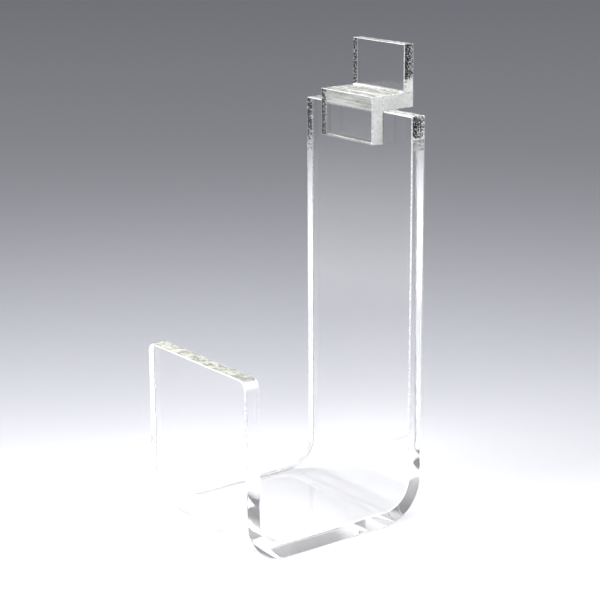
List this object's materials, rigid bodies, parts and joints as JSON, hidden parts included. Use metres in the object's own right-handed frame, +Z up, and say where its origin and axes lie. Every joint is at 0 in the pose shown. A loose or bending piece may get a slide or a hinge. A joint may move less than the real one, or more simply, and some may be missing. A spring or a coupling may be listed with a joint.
{
  "type": "phone stand",
  "caption": "Clear acrylic J-shaped stand bent from thick sheet, with a low front lip, a tall back panel and a stepped clip cemented to its top edge.",
  "frame": {"origin": "on the surface that the stand rests on, below the centre of the whole outline, clip overhang included", "axes": "+Z up along the back panel, +Y from the front lip to the back panel, +X to the right across the sheet's width"},
  "size_m": [0.09, 0.128, 0.2569],
  "materials": {
    "acrylic": "polished",
    "cement": "satin"
  },
  "bodies": {
    "root": {"bent_sheet": "acrylic", "front_tab": "acrylic", "shelf_plate": "acrylic", "upper_tab": "acrylic", "panel_cement": "cement", "edge_cement": "cement", "corner_cement": "cement", "tab_cement": "cement"}
  },
  "joints": []
}
